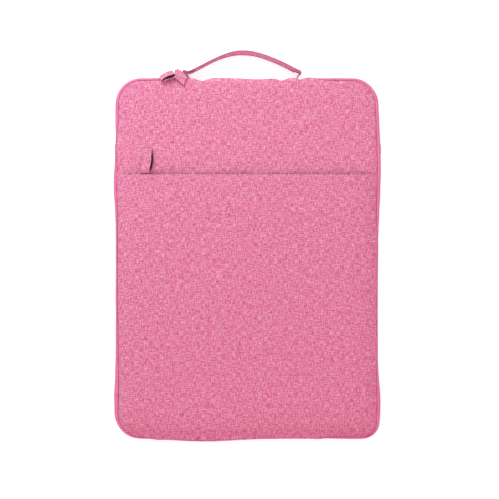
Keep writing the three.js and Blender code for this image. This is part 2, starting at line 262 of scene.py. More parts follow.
def grid_piece(name, grid, uv, wrap=False, closed=False, flip=False):
    """A sheet through a grid of points, rows by columns by 3. wrap joins its last column to its
    first, and closed its last row."""
    rows, columns = grid.shape[:2]
    faces = []
    for r in range(rows if closed else rows - 1):
        for c in range(columns if wrap else columns - 1):
            here, there = r * columns, (r + 1) % rows * columns
            d = (c + 1) % columns
            face = (here + c, here + d, there + d, there + c)
            faces.append(face[::-1] if flip else face)
    return new_mesh(name, grid.reshape(-1, 3), faces, uv.reshape(-1, 2))


def flat_uv(x, y):
    return np.stack([x, y], axis=-1) * MM


def sheet(name, x, y, z, uv=None, flip=False):
    """A panel from its places and heights. Its weave lies flat where no uv is given."""
    uv = flat_uv(x, y) if uv is None else uv
    return grid_piece(name, np.stack([x, y, z], axis=-1), uv, flip=flip)


def run_length(points):
    """How far along a line each of its points lies."""
    return np.concatenate([[0], np.cumsum(np.linalg.norm(np.diff(points, axis=0), axis=1))])


def strip_uv(u, v):
    """The weave of a strip, from lengths along it and across it in millimetres."""
    return np.stack(np.broadcast_arrays(u[:, None], v[None, :]), axis=-1) * MM


def surface_uv(grid):
    return strip_uv(run_length(grid[:, 0]), run_length(grid[0]))


def unit_rows(vectors):
    return vectors / np.linalg.norm(vectors, axis=1)[:, None]


def tangents(line):
    return unit_rows(np.gradient(line, axis=0))


def set_values(thing, **values):
    for key, value in values.items():
        setattr(thing, key, value)
    return thing


def modify(piece, kind, **values):
    return set_values(piece.modifiers.new(kind.capitalize(), kind), **values)


def thicken(piece, thickness, offset=-1):
    modify(piece, "SOLIDIFY", thickness=thickness * MM, offset=offset, use_even_offset=False)


def soften_mesh(piece):
    modify(piece, "SUBSURF", levels=1, render_levels=1)


def dress(piece, material, body, *stands_for, slot=None):
    """Gives a piece its material and body, and hides the CAD nodes it stands for."""
    piece.data.materials.append(materials[material])
    if body:
        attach(piece, body)
    if stands_for:
        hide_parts(*stands_for)


def join_pieces(name, pieces):
    """One object from several that share a material."""
    with bpy.context.temp_override(active_object=pieces[0], selected_editable_objects=pieces,
                                   object=pieces[0]):
        bpy.ops.object.join()
    pieces[0].name = name
    return pieces[0]


def cap_ends(piece, rows, columns):
    """Closes the two ends of a swept tube."""
    mesh = bmesh.new()
    mesh.from_mesh(piece.data)
    mesh.verts.ensure_lookup_table()
    mesh.faces.new([mesh.verts[c] for c in range(columns)][::-1])
    mesh.faces.new([mesh.verts[(rows - 1) * columns + c] for c in range(columns)])
    bmesh.ops.recalc_face_normals(mesh, faces=mesh.faces)
    mesh.to_mesh(piece.data)
    mesh.free()


def wire(name, places, centre, first, second, radius, sides, closed=False):
    """A round wire along a line of centres. first and second are directions across the line, and
    places are how far along it the centres lie."""
    turn = np.linspace(0, 2 * math.pi, sides, endpoint=False)
    grid = centre[:, None] + radius * (np.cos(turn)[None, :, None] * first[:, None]
                                       + np.sin(turn)[None, :, None] * second[:, None])
    return grid_piece(name, grid, strip_uv(places, turn), wrap=True, closed=closed)


def sampled(values, where, places):
    """Rows of values, known at the points where, at other places."""
    return np.stack([np.interp(places, where, column) for column in values.T], axis=1)


def spline(points, count):
    """A smooth curve through a few points, as count points evenly spread along it."""
    points = np.array(points, float)
    ends = np.vstack([2 * points[0] - points[1], points, 2 * points[-1] - points[-2]])
    fine = []
    for i in range(1, len(ends) - 2):
        p0, p1, p2, p3 = ends[i - 1:i + 3]
        for t in np.linspace(0, 1, 24, endpoint=False):
            fine.append(0.5 * (2 * p1 + (p2 - p0) * t + (2 * p0 - 5 * p1 + 4 * p2 - p3) * t ** 2
                               + (3 * p1 - p0 - 3 * p2 + p3) * t ** 3))
    fine = np.array(fine + [points[-1]])
    length = run_length(fine)
    return sampled(fine, length, np.linspace(0, length[-1], count))


# ---- materials ----


class Nodes:
    """Short calls for building a material's node tree."""

    def __init__(self, name):
        self.material = bpy.data.materials.new(name)
        self.material.use_nodes = True
        self.tree = self.material.node_tree
        self.tree.nodes.clear()

    def add(self, kind, sockets, **values):
        """A new node, with a value or a link for each of the sockets named."""
        node = set_values(self.tree.nodes.new(kind), **values)
        for socket, value in sockets.items():
            if isinstance(value, bpy.types.NodeSocket):
                self.tree.links.new(value, node.inputs[socket])
            else:
                node.inputs[socket].default_value = value
        return node

    def finish(self, shader):
        self.add("ShaderNodeOutputMaterial", {"Surface": shader})
        return self.material

    def math(self, operation, a, b=0):
        return self.add("ShaderNodeMath", {0: a, 1: b}, operation=operation).outputs[0]

    def plus(self, a, b, weight):
        """a + b * weight"""
        return self.math("ADD", a, self.math("MULTIPLY", b, weight))

    def weave_place(self):
        return self.add("ShaderNodeUVMap", {}, uv_map="weave").outputs["UV"]

    def object_place(self):
        return self.add("ShaderNodeTexCoord", {}).outputs["Object"]

    def noise(self, place, scale, detail=2, roughness=0.5):
        return self.add("ShaderNodeTexNoise", {"Vector": place, "Scale": scale, "Detail": detail,
                                               "Roughness": roughness}).outputs["Fac"]

    def streaks(self, place, scale, detail=2, roughness=0.5):
        """Noise drawn out along one direction, from a scale for each axis."""
        mapping = self.add("ShaderNodeMapping", {"Vector": place, "Scale": scale})
        return self.noise(mapping.outputs[0], 1, detail, roughness)

    def mix(self, factor, a, b):
        return self.add("ShaderNodeMix", {0: factor, 6: a, 7: b}, data_type="RGBA").outputs[2]

    def ramp(self, factor, stops, shade=1):
        node = self.add("ShaderNodeValToRGB", {0: factor})
        elements = node.color_ramp.elements
        while len(elements) < len(stops):
            elements.new(0.5)
        for element, (position, color) in zip(elements, stops):
            set_values(element, position=position, color=linear(color, shade))
        return node.outputs["Color"]

    def bump(self, height, distance, strength):
        sockets = {"Height": height, "Distance": distance, "Strength": strength}
        return self.add("ShaderNodeBump", sockets).outputs["Normal"]

    def surface(self, color, roughness, normal, metallic=0, sheen=0, specular=0.3):
        shader = self.add("ShaderNodeBsdfPrincipled", {
            "Base Color": color, "Roughness": roughness, "Normal": normal, "Metallic": metallic,
            "Specular IOR Level": specular, "Sheen Weight": sheen, "Sheen Roughness": 0.5})
        return self.finish(shader.outputs[0])


def linear(color, shade=1):
    """A colour of 0 to 255 for each channel as the renderer takes it, made darker by shade."""
    shares = [value / 255 for value in color]
    return tuple(shade * (c / 12.92 if c <= 0.04045 else ((c + 0.055) / 1.055) ** 2.4)
                 for c in shares) + (1,)


YARN = 0.00052  # pitch of the melange weave, in metres


def woven(n, place, pitch):
    """The two thread directions of a plain weave: (over, height), where over is 1 on a thread
    that runs along the first direction and 0 on one that crosses it."""
    separate = n.add("ShaderNodeSeparateXYZ", {0: place})
    across, along = (n.math("SINE", n.math("MULTIPLY", separate.outputs[k], math.pi / pitch))
                     for k in (0, 1))
    product = n.math("MULTIPLY", across, along)
    return n.math("GREATER_THAN", product, 0), n.math("ABSOLUTE", product)


def melange(name, shade=1, contrast=1):
    """Two-tone slub cloth: pale, rose and hot pink yarns with a few grey ones, woven plain."""
    n = Nodes(name)
    place = n.weave_place()
    over, height = woven(n, place, YARN)
    weft = n.streaks(place, (180, 1000, 1), 1.5, 0.55)
    warp = n.streaks(place, (1000, 180, 1), 1.5, 0.55)
    cloud = n.noise(place, 700, 2.5, 0.7)
    tone = n.plus(n.plus(n.math("MULTIPLY", weft, 0.36), warp, 0.36), cloud, 0.28)
    tone = n.plus(tone, n.math("SUBTRACT", over, 0.5), 0.05)
    spread = 0.094 / contrast
    color = n.ramp(tone, [(0.5 - spread * 1.5, (196, 66, 116)),
                          (0.5 - spread * 0.5, (220, 106, 144)),
                          (0.5 + spread * 0.4, (227, 142, 170)),
                          (0.5 + spread * 1.5, (234, 188, 204))], shade)
    fleck = n.streaks(place, (260, 620, 1))
    grey = n.math("MULTIPLY", n.math("GREATER_THAN", fleck, 0.64), 0.35)
    color = n.mix(grey, color, linear((176, 112, 136), shade))
    fibres = n.noise(place, 5200, 2, 0.6)
    normal = n.bump(n.plus(height, fibres, 0.5), 0.00022, 0.8)
    return n.surface(color, n.plus(0.82, fibres, 0.15), normal, sheen=0.06, specular=0.15)


def plain_weave(name, color, darker, pitch, sheen=0.1, roughness=0.85, depth=0.0002):
    """A finer one-colour cloth with soft variation along its threads."""
    n = Nodes(name)
    place = n.weave_place()
    over, height = woven(n, place, pitch)
    thread = n.streaks(place, (260, 1800, 1), 2, 0.6)
    patch = n.noise(place, 60, 3, 0.6)
    tone = n.plus(n.math("MULTIPLY", thread, 0.6), patch, 0.4)
    shade = n.ramp(tone, [(0.3, darker), (0.7, color)])
    shade = n.mix(n.math("MULTIPLY", over, 0.12), shade, linear(darker))
    return n.surface(shade, n.plus(roughness, thread, 0.1), n.bump(height, depth, 0.7),
                     sheen=sheen, specular=0.25)


def metal(name):
    n = Nodes(name)
    place = n.object_place()
    scratch = n.streaks(place, (300, 4000, 300), 2, 0.6)
    color = n.ramp(n.noise(place, 900, 4, 0.6), [(0.35, (88, 96, 92)), (0.75, (150, 156, 150))])
    return n.surface(color, n.plus(0.28, scratch, 0.25), n.bump(scratch, 0.00004, 0.5),
                     metallic=1, specular=0.5)


def nylon(name, color, darker):
    n = Nodes(name)
    tone = n.noise(n.object_place(), 700, 3, 0.6)
    shade = n.ramp(tone, [(0.35, darker), (0.7, color)])
    return n.surface(shade, 0.42, n.bump(tone, 0.00005, 0.4), specular=0.5)


def foam(name):
    n = Nodes(name)
    cells = n.add("ShaderNodeTexVoronoi", {"Vector": n.object_place(), "Scale": 900})
    distance = cells.outputs["Distance"]
    shade = n.ramp(distance, [(0, (168, 164, 156)), (0.6, (222, 219, 211))])
    return n.surface(shade, 0.95, n.bump(distance, 0.0004, 0.8), specular=0.1)


def make_materials():
    return {
        "panel": melange("panel_melange"),
        # the pocket's cloth is the panel's made a little darker: painted shade for the light that
        # falls off towards the bottom
        "pocket": melange("pocket_melange_painted_shade", shade=0.975),
        "pull": melange("pull_melange", shade=0.95),
        "handle": melange("handle_melange", shade=0.8, contrast=0.8),
        "handle_under": melange("handle_lining_melange", shade=0.88),
        "gusset": plain_weave("gusset_cloth", (232, 134, 174), (218, 102, 150), 0.0004, sheen=0.2),
        "lining": plain_weave("lining_cloth", (128, 126, 132), (104, 102, 108), 0.0003,
                              sheen=0.15, roughness=0.7),
        "binding": plain_weave("binding_tape", (58, 56, 60), (40, 38, 42), 0.0005),
        "tape": plain_weave("zip_tape_cloth", (214, 96, 140), (190, 70, 118), 0.00045),
        "webbing": plain_weave("handle_webbing_cloth", (224, 122, 156), (204, 98, 136), 0.0008,
                               depth=0.0004),
        "coil": nylon("nylon_coil", (222, 104, 150), (196, 76, 122)),
        "metal": metal("dull_metal"),
        "foam": foam("open_cell_foam"),
    }


# ---- panels ----

RIM_STEPS = [0, 0.45, 1, 1.8, 2.8, 4.2, 6, 8.5, 11.5, 15]
PANEL_STEP = 3.2
RIM_DROP = 1.1
TUCK_DROP = 1.8
LIP = 0.3
FRONT_PLATEAU = FRONT + 1.5
MOUTH_DIP = 1.6
POCKET_PLATEAU = FRONT + 7.4
HEM_TOP = FRONT + 6.2
HEM_LIFT = 1
PULL_X = (box_mm("pocket_pull_tab")[0][0] + box_mm("pocket_pull_tab")[1][0]) / 2
PULL_TRAVEL = joint_record("pocket_slider_travel")["range_m"][1] / MM


def spaced(low, high, dense_high=True):
    """Places from low to high, close together at the ends that need it."""
    start = [low + s for s in RIM_STEPS]
    end = [high - s for s in RIM_STEPS][::-1] if dense_high else [high]
    count = max(2, int((end[0] - start[-1]) / PANEL_STEP))
    middle = np.linspace(start[-1], end[0], count + 1)[1:-1]
    return np.concatenate([start, middle, end])


def panel_grid(outline, inset, high=None):
    """x and y of a grid that fills an outline drawn in by inset, up to the height high."""
    low = -(outline.places["bottom"] - inset)
    dense_high = high is None
    rows = spaced(low, outline.places["top"] - inset if dense_high else high, dense_high)
    width = outline.places["left"] + outline.places["right"] - 2 * inset
    share = spaced(0, width)[None, :] / width
    left = -outline.half_width("left", rows, inset)[:, None]
    right = outline.half_width("right", rows, inset)[:, None]
    x = left + (right - left) * share
    return x, np.broadcast_to(rows[:, None], x.shape).copy()


def reach_out(x, y):
    """Bends straight grid edges to the front seam's waves, and rolls them out over the seam to
    the silhouette where the panel hides the gusset."""
    amount = tucked(x, y)
    moved = []
    for axis, across, edges in ((x, y, ("left", "right")), (y, x, ("bottom", "top"))):
        shift = 0
        for sign, edge in zip((-1, 1), edges):
            seam = front_seam.side(edge, across)
            gap = silhouette.side(edge, across) + LIP - seam
            inside = np.maximum(seam - sign * axis, 0)
            shift = shift + sign * amount * gap * np.exp(-inside / 8)
            if axis is y:
                wave = seam - front_seam.places[edge]
                shift = shift + sign * wave * np.exp(-inside / 20)
        moved.append(axis + shift)
    return moved


def lumps(x, y, seed):
    """Slow waves and the small unevenness of padded cloth."""
    slow = smooth_noise(x, y, 62, seed) * 0.55
    return slow + smooth_noise(x, y, 15, seed + 5) * 0.14


def puckers(x, y, depth, seed):
    """Short ripples that the stitching pulls into a seam."""
    return smooth_noise(x * 1.5, y * 1.5, 9, seed) * 0.6 * np.exp(-depth / 6)


def pillow(x, y, depth, plateau):
    """A height that rises steeply from the seam and then gently to the plateau."""
    rim = FRONT - RIM_DROP - TUCK_DROP * tucked(x, y)
    rise = 1 - 0.62 * np.exp(-depth / 1.5) - 0.38 * np.exp(-depth / 9)
    return rim + (plateau - rim) * rise


def front_height(x, y):
    """The outside of the front panel, which dips where the pocket covers it."""
    depth = np.maximum(front_seam.depth(x, y), 0)
    clear = ramp(y, POCKET_TOP - 1.2, POCKET_TOP + 4)
    plateau = FRONT_PLATEAU - MOUTH_DIP * (1 - clear) + clear * lumps(x, y, 1)
    return pillow(x, y, depth, plateau) + clear * puckers(x, y, depth, 3)


def hem_lift(x):
    """The hem rides up over the zip's slider at either end of its travel."""
    ends = (PULL_X, PULL_X + PULL_TRAVEL)
    return HEM_LIFT * sum(np.exp(-(((x - end) / 18) ** 2)) for end in ends)


def pocket_height(x, y):
    """The outside of the pocket, which lies on the front panel at the seam and rises slowly."""
    depth = np.maximum(front_seam.depth(x, y), 0)
    base = pillow(x, y, depth, FRONT + 0.9) + 0.35
    near_hem = ramp(y, POCKET_TOP - 5.5, POCKET_TOP)
    top = POCKET_PLATEAU - 0.6 * ramp(y, POCKET_TOP - 40, POCKET_TOP - 5.5)
    top = top + (HEM_TOP + hem_lift(x) - top) * near_hem
    rise = 1 - np.exp(-((depth / 10) ** 1.4))
    slow = lumps(x, y, 8) * (1 - ramp(y, POCKET_TOP - 20, POCKET_TOP - 6))
    return base + (top - FRONT - 0.9) * rise + slow * rise + puckers(x, y, depth, 11)


# Cloth on its foam: the share by which it was cut larger than the foam it is glued to, how
# firmly the glue holds it, and how many frames it has to settle
EASE = 0.02
GLUE = 0.12
SETTLE_FRAMES = 14


def settle(piece, sewn, cap):
    """Lets a panel's cloth wrinkle against its foam by cloth simulation. sewn is how firmly each
    point is held from 0 to 1, and cap about how far, in millimetres, a point may move."""
    group = piece.vertex_groups.new(name="held")
    for index, weight in enumerate(np.ravel(np.maximum(sewn, GLUE))):
        group.add([index], float(weight), "REPLACE")
    cloth = piece.modifiers.new("Cloth", "CLOTH")
    settings = set_values(
        cloth.settings, vertex_group_mass=group.name, pin_stiffness=1, quality=4, mass=0.001,
        tension_stiffness=15, compression_stiffness=15, shear_stiffness=5,
        bending_stiffness=0.02, shrink_min=-EASE)
    settings.effector_weights.gravity = 0
    cloth.collision_settings.use_collision = False
    cloth.point_cache.frame_end = SETTLE_FRAMES
    scene = bpy.context.scene
    for number in range(1, SETTLE_FRAMES + 1):
        scene.frame_set(number)
    shaped = piece.evaluated_get(bpy.context.evaluated_depsgraph_get()).data
    count = len(piece.data.vertices)
    before, after = np.empty(count * 3), np.empty(count * 3)
    piece.data.vertices.foreach_get("co", before)
    shaped.vertices.foreach_get("co", after)
    moved = (after - before).reshape(-1, 3)
    distance = np.linalg.norm(moved, axis=1)[:, None]
    moved = moved / (1 + distance / (cap * MM))
    piece.modifiers.remove(cloth)
    piece.vertex_groups.remove(group)
    piece.data.vertices.foreach_set("co", before + moved.ravel())
    scene.frame_set(1)


def held_near_seam(x, y, outline=front_seam, inset=0):
    return 1 - ramp(outline.depth(x, y, inset), 1, 6)


def front_panel():
    x, y = panel_grid(front_seam, 0)
    piece = sheet("front_panel", *reach_out(x, y), front_height(x, y), flat_uv(x, y))
    settle(piece, held_near_seam(x, y) + 1 - ramp(y, POCKET_TOP, POCKET_TOP + 8), 0.9)
    thicken(piece, FABRIC)
    dress(piece, "panel", None, "front_lower_cover", "flap_cover")
    bend_with_flap(piece)


def bend_with_flap(piece):
    """Bakes the piece's placement into its mesh."""
    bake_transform(piece)


def front_layer(layer, inset, sag=0):
    """A layer behind the front panel, one piece for the flap and the lower front. sag is how far
    its cloth hangs off its foam on average."""
    x, y = panel_grid(front_seam, inset)
    low, high = box_mm(f"flap_{layer}")
    piece = sheet(f"front_{layer}", x, y, high[2] - sag * (1 + smooth_noise(x, y, 26, 14)))
    thicken(piece, high[2] - low[2])
    dress(piece, layer, None, f"flap_{layer}", f"front_lower_{layer}")
    bend_with_flap(piece)


BACK_INSET = 3.2


def back_panel():
    x, y = panel_grid(silhouette, BACK_INSET)
    depth = np.maximum(silhouette.depth(x, y, BACK_INSET), 0)
    z = 1.9 * np.exp(-depth / 2.4) + 0.3 + 0.06 * smooth_noise(x, y, 30, 21)
    z = z + 0.25 * np.abs(puckers(x, y, depth, 25))
    piece = sheet("back_panel", x, y, z, flip=True)
    settle(piece, held_near_seam(x, y, silhouette, BACK_INSET), 0.25)
    thicken(piece, FABRIC)
    dress(piece, "panel", "shell", "back_cover")


# The hem's turned edge: (back from the edge, down from the top)
HEM_FOLD = [(0.55, 0.03), (0.15, 0.2), (0, 0.5), (0.15, 0.8), (0.55, 0.95), (4, 1),
            (9, 1.05)]
HEM_ROUND = 1.2


def pocket_panel():
    """The pocket's outer panel, with its top edge folded under as a hem."""
    x, y = panel_grid(front_seam, 0, POCKET_TOP - HEM_ROUND)
    grid = np.stack([x, y, pocket_height(x, y)], axis=-1)
    edge_x = x[-1]
    fold, fold_uv = [], []
    travelled, last = POCKET_TOP - HEM_ROUND, (HEM_ROUND, 0)
    for back, down in HEM_FOLD:
        edge_y = np.full_like(edge_x, POCKET_TOP - back)
        fold.append(np.stack([edge_x, edge_y, pocket_height(edge_x, edge_y) - down], axis=-1))
        travelled += math.dist(last, (back, down))
        last = (back, down)
        fold_uv.append(flat_uv(edge_x, np.full_like(edge_x, travelled)))
    grid = np.concatenate([grid, np.array(fold)])
    uv = np.concatenate([flat_uv(x, y), np.array(fold_uv)])
    gx, gy = grid[..., 0], grid[..., 1]
    piece = sheet("pocket_panel_cloth", *reach_out(gx, gy), grid[..., 2], uv)
    settle(piece, held_near_seam(gx, gy) + ramp(gy, POCKET_TOP - 16, POCKET_TOP - 8), 1.1)
    thicken(piece, 0.5)
    dress(piece, "pocket", "shell", "pocket_panel")


def pocket_lining():
    x, y = panel_grid(front_seam, 1.2, POCKET_TOP - 17)
    piece = sheet("pocket_lining_cloth", x, y, pocket_height(x, y) - 1.3)
    thicken(piece, 0.3)
    dress(piece, "lining", "shell", "pocket_lining")


# ---- gusset and zip ----

# The front roll of the gusset: (share of the way from the silhouette to the seam, height below
# the front)
FRONT_ROLL = [(0, 3.9), (-0.02, 3), (0.05, 2), (0.2, 1.05), (0.42, 0.55), (0.64, 0.55),
              (0.83, 0.9), (0.95, 1.45), (1.03, 2.3)]
# The back roll: (inset from the silhouette, height)
BACK_ROLL = [(3.7, 2.4), (2.7, 1.1), (1.4, 0.9), (0.6, 2.4), (0.15, 5.5)]


def loop_frames():
    """Matching points round the silhouette and the front seam, with normals and tuck."""
    outer, normals = silhouette.loop()
    seam, _ = front_seam.loop()
    tuck = tucked(outer[:, 0], outer[:, 1])
    rim = seam + (outer + normals * LIP - seam) * tuck[:, None]
    return outer, normals, rim, tuck


def cloth_ripple(x, y, z):
    """Slight unevenness of the gusset, the same wherever two of its pieces meet."""
    return 0.3 * noise_at(x / 15, y / 15, z / 12)


def wall_strip(name, rows, section, material, node, thickness=FABRIC, body="shell"):
    """A strip that follows the silhouette, from a section of (inset, height) points."""
    outer, normals, _, _ = loop_frames()
    outer, normals = outer[rows], normals[rows]
    inset, height = np.array(section).T
    z = np.broadcast_to(height, (len(outer), len(section)))
    x = outer[:, 0, None] - normals[:, 0, None] * inset
    y = outer[:, 1, None] - normals[:, 1, None] * inset
    out = cloth_ripple(x, y, z) * (1 if thickness > 0.5 else 0)
    grid = np.stack([x + normals[:, 0, None] * out, y + normals[:, 1, None] * out, z], axis=-1)
    piece = grid_piece(name, grid, surface_uv(grid))
    thicken(piece, thickness)
    soften_mesh(piece)
    dress(piece, material, body, node)


def rows_where(test):
    """Indices of the loop's points that pass a test of their height, in order along the strip."""
    outer, _, _, _ = loop_frames()
    inside = test(outer[:, 1])
    start = next(i for i in range(len(inside)) if inside[i] and not inside[i - 1])
    return np.array([(start + i) % len(inside) for i in range(int(inside.sum()))])


def front_roll():
    """The gusset's front edge, which rolls over to the seam of the front panel."""
    outer, normals, rim, tuck = loop_frames()
    share, drop = np.array(FRONT_ROLL).T
    flat = rim[:, None] * share[None, :, None] + outer[:, None] * (1 - share[None, :, None])
    rim_z = FRONT - RIM_DROP - TUCK_DROP - 0.5
    z = FRONT - drop[None, :]
    z = z + (np.minimum(z, rim_z) - z) * tuck[:, None]
    out = cloth_ripple(flat[..., 0], flat[..., 1], z) * (1 - np.abs(share))[None, :]
    grid = np.concatenate([flat + normals[:, None] * out[..., None], z[..., None]], axis=-1)
    grid = np.concatenate([grid, grid[:1]])
    roll = grid_piece("front_roll", grid, surface_uv(grid))
    thicken(roll, 0.8)
    soften_mesh(roll)
    dress(roll, "gusset", None, "front_zip_strip")
    bend_with_flap(roll)


def make_gusset():
    """The strip round the sides, its linings, the binding over its back seam and the zip tapes."""
    front_roll()
    upper = rows_where(lambda y: y > HINGE_Y)
    lower = rows_where(lambda y: y <= HINGE_Y)
    lower = np.concatenate([[upper[-1]], lower, [upper[0]]])
    whole = np.append(np.arange(len(upper) + len(lower) - 2), 0)

    fold = back_strip_high[2]
    back_fold = [(0, fold * 0.65), (0.1, fold - 2), (0.1, fold - 0.6), (0.5, fold), (1.3, fold)]
    wall_strip("back_strip_cloth", upper, BACK_ROLL + back_fold, "gusset", "back_zip_strip")
    top = FRONT - FRONT_ROLL[0][1]
    wall = [(-0.05, top * 0.45), (-0.05, top * 0.7), (0.05, top - 1), (0.35, top - 0.1),
            (0.9, top + 0.7)]
    wall_strip("lower_gusset_cloth", lower, BACK_ROLL + wall, "gusset", "lower_gusset")
    inside = [(2.6, 3.5), (1.7, 5.5), (1.6, 10)]
    wall_strip("back_strip_inside", upper, inside + [(1.6, fold - 0.4)], "lining",
               "back_strip_lining", THIN_PLY)
    wall_strip("lower_gusset_inside", lower, inside + [(1.6, FRONT - 5), (2.6, FRONT - 4)],
               "lining", "lower_gusset_lining", THIN_PLY)
    wall_strip("back_binding", whole, [(4.6, 5.3), (3.4, 5.6), (2.6, 6.6), (2.5, 8.6)], "binding",
               "back_seam_binding", THIN_PLY)
    wall_strip("back_tape", upper, [(1.35, ZIP_Z - 8), (1.35, ZIP_Z - 4), (1.5, ZIP_Z - 0.7)],
               "tape", "back_zip_tape", TAPE_PLY)
    wall_strip("front_tape", upper, [(1.5, ZIP_Z + 0.7), (1.35, ZIP_Z + 3), (1.35, ZIP_Z + 5.6)],
               "tape", "front_zip_tape", TAPE_PLY, "front_flap")


COIL_PITCH = 1.35
COIL_WIRE = 0.33
TURN_STEPS = 8
WIRE_SIDES = 5
COIL_INSET = 0.75


def coil_row(name, path, outward, sideways, width, height, body, node):
    """A zip row: one wire wound in flat turns along a path. outward points away from the tape and
    sideways towards the other row."""
    along = run_length(path)
    turns = int(along[-1] / COIL_PITCH)
    count = turns * TURN_STEPS + 1
    places = np.linspace(0, along[-1], count)

    path, outward, sideways, forward = (
        sampled(np.broadcast_to(values, path.shape), along, places)
        for values in (path, outward, sideways, np.gradient(path, axis=0)))
    angle = np.linspace(0, turns * 2 * math.pi, count)
    centre = path + outward * (np.cos(angle) * height / 2)[:, None] \
        + sideways * (np.sin(angle) * width / 2)[:, None]
    tangent = tangents(centre)
    first = unit_rows(np.cross(tangent, forward))
    second = np.cross(tangent, first)
    piece = wire(name, places, centre, first, second, COIL_WIRE, WIRE_SIDES)
    cap_ends(piece, count, WIRE_SIDES)
    dress(piece, "coil", body, node)


def make_main_coils():
    outer, normals, _, _ = loop_frames()
    rows = rows_where(lambda y: y > HINGE_Y + 2)
    flat = outer[rows] - normals[rows] * COIL_INSET
    outward = np.column_stack([normals[rows], np.zeros(len(rows))])
    for name, sign, body, node in (("back_coil_row", -1, "shell", "back_zip_coil"),
                                   ("front_coil_row", 1, "front_flap", "front_zip_coil")):
        path = np.column_stack([flat, np.full(len(rows), ZIP_Z + sign * (COIL_REACH / 2 + 0.1))])
        coil_row(name, path, outward, (0, 0, -sign), COIL_REACH + 0.2, 1, body, node)


POCKET_ZIP_LOW, POCKET_ZIP_HIGH = box_mm("pocket_zip_upper_coil")
CHAIN_Y = (POCKET_ZIP_LOW[1] + POCKET_ZIP_HIGH[1]) / 2
CHAIN_Z = FRONT + 2.2


def make_pocket_zip():
    """The concealed zip under the pocket's hem, closed."""
    count = 80
    xs = np.linspace(POCKET_ZIP_LOW[0], POCKET_ZIP_HIGH[0], count)
    upper_end, lower_end = (CHAIN_Y + 6.6, FRONT + 0.5), (CHAIN_Y - 9, POCKET_PLATEAU - 2)
    for word, sign, tape_end in (("upper", 1, upper_end), ("lower", -1, lower_end)):
        path = np.column_stack([xs, np.full(count, CHAIN_Y + sign * 1.1), np.full(count, CHAIN_Z)])
        coil_row(f"pocket_{word}_coil_row", path, (0, 0, 1), (0, -sign, 0), 2.1, 0.9, "shell",
                 f"pocket_zip_{word}_coil")
        section = [(CHAIN_Y + sign * 1.2, CHAIN_Z - 0.8), (CHAIN_Y + sign * 3.4, CHAIN_Z - 0.8),
                   tape_end]
        grid = np.array([[[x, y, z] for y, z in section] for x in xs])
        tape = grid_piece(f"pocket_{word}_tape", grid, surface_uv(grid))
        thicken(tape, THIN_PLY)
        dress(tape, "tape", "shell", f"pocket_zip_{word}_tape")


def soft_box(name, low, high, radius):
    """A block with rounded edges."""
    low, high = np.array(low, float), np.array(high, float)
    mesh = bmesh.new()
    bmesh.ops.create_cube(mesh, size=1)
    for vertex in mesh.verts:
        vertex.co = Vector(((low + high) / 2 + np.array(vertex.co) * (high - low)) * MM)
    bmesh.ops.bevel(mesh, geom=list(mesh.edges), offset=radius * MM, segments=3, profile=0.5,
                    affect="EDGES")
    return piece_from(name, mesh)


def wall_patch(name, edge, along, height, proud, material, slot, node):
    """A sewn patch that follows the gusset: along is its reach along the edge of the sleeve,
    height its reach upwards, and proud how far it stands off the cloth."""
    places = np.linspace(*along, 10)
    gy, gz = np.meshgrid(places, np.linspace(*height, 8), indexing="ij")
    reach = np.broadcast_to(silhouette.side(edge, places)[:, None], gy.shape)
    sign = -1 if edge == "left" else 1
    across = edge == "top"
    gx = reach if across else sign * reach
    ripple = cloth_ripple(gy, gx, gz) if across else cloth_ripple(gx, gy, gz)
    out = reach + ripple + proud
    grid = np.stack([gy, out, gz] if across else [sign * out, gy, gz], axis=-1)
    patch = grid_piece(name, grid, surface_uv(grid), flip=edge != "right")
    thicken(patch, THIN_PLY)
    soften_mesh(patch)
    dress(patch, material, "shell", node, slot=slot)


def make_stops_and_patches():
    for word in ("left", "right"):
        node = f"pocket_zip_{word}_stop"
        low, high = box_mm(node)
        stop = soft_box(f"pocket_{word}_stop", (low[0], CHAIN_Y - 2.2, CHAIN_Z - 1.3),
                        (high[0], CHAIN_Y + 2.2, CHAIN_Z + 1.1), 0.4)
        dress(stop, "metal", "shell", node)
        node = f"{word}_zip_end_patch"
        low, high = box_mm(node)
        wall_patch(f"{word}_end_patch", word, (low[1], high[1]), (low[2], FRONT - 3.4), 0.08,
                   "gusset", "panel_fabric", node)
        node = f"{word}_handle_anchor"
        low, high = box_mm(node)
        wall_patch(f"{word}_anchor_patch", "top", (low[0], high[0]), (low[2], high[2]), 0.05,
                   "handle", "handle_fabric", node)


# ---- sliders and rings ----


def make_slider(node):
    """A copy of a CAD slider with its flat faces merged and its edges rounded."""
    mesh = bmesh.new()
    mesh.from_mesh(frame["nodes"][node].data)
    bmesh.ops.remove_doubles(mesh, verts=mesh.verts, dist=1e-6)
    bmesh.ops.dissolve_limit(mesh, angle_limit=math.radians(1), verts=mesh.verts, edges=mesh.edges)
    piece = piece_from(f"{node}_body", mesh)
    modify(piece, "BEVEL", width=0.25 * MM, segments=3, limit_method="ANGLE",
           angle_limit=math.radians(40))
    dress(piece, "metal", node, node)


RING_WIRE = 0.6  # radius


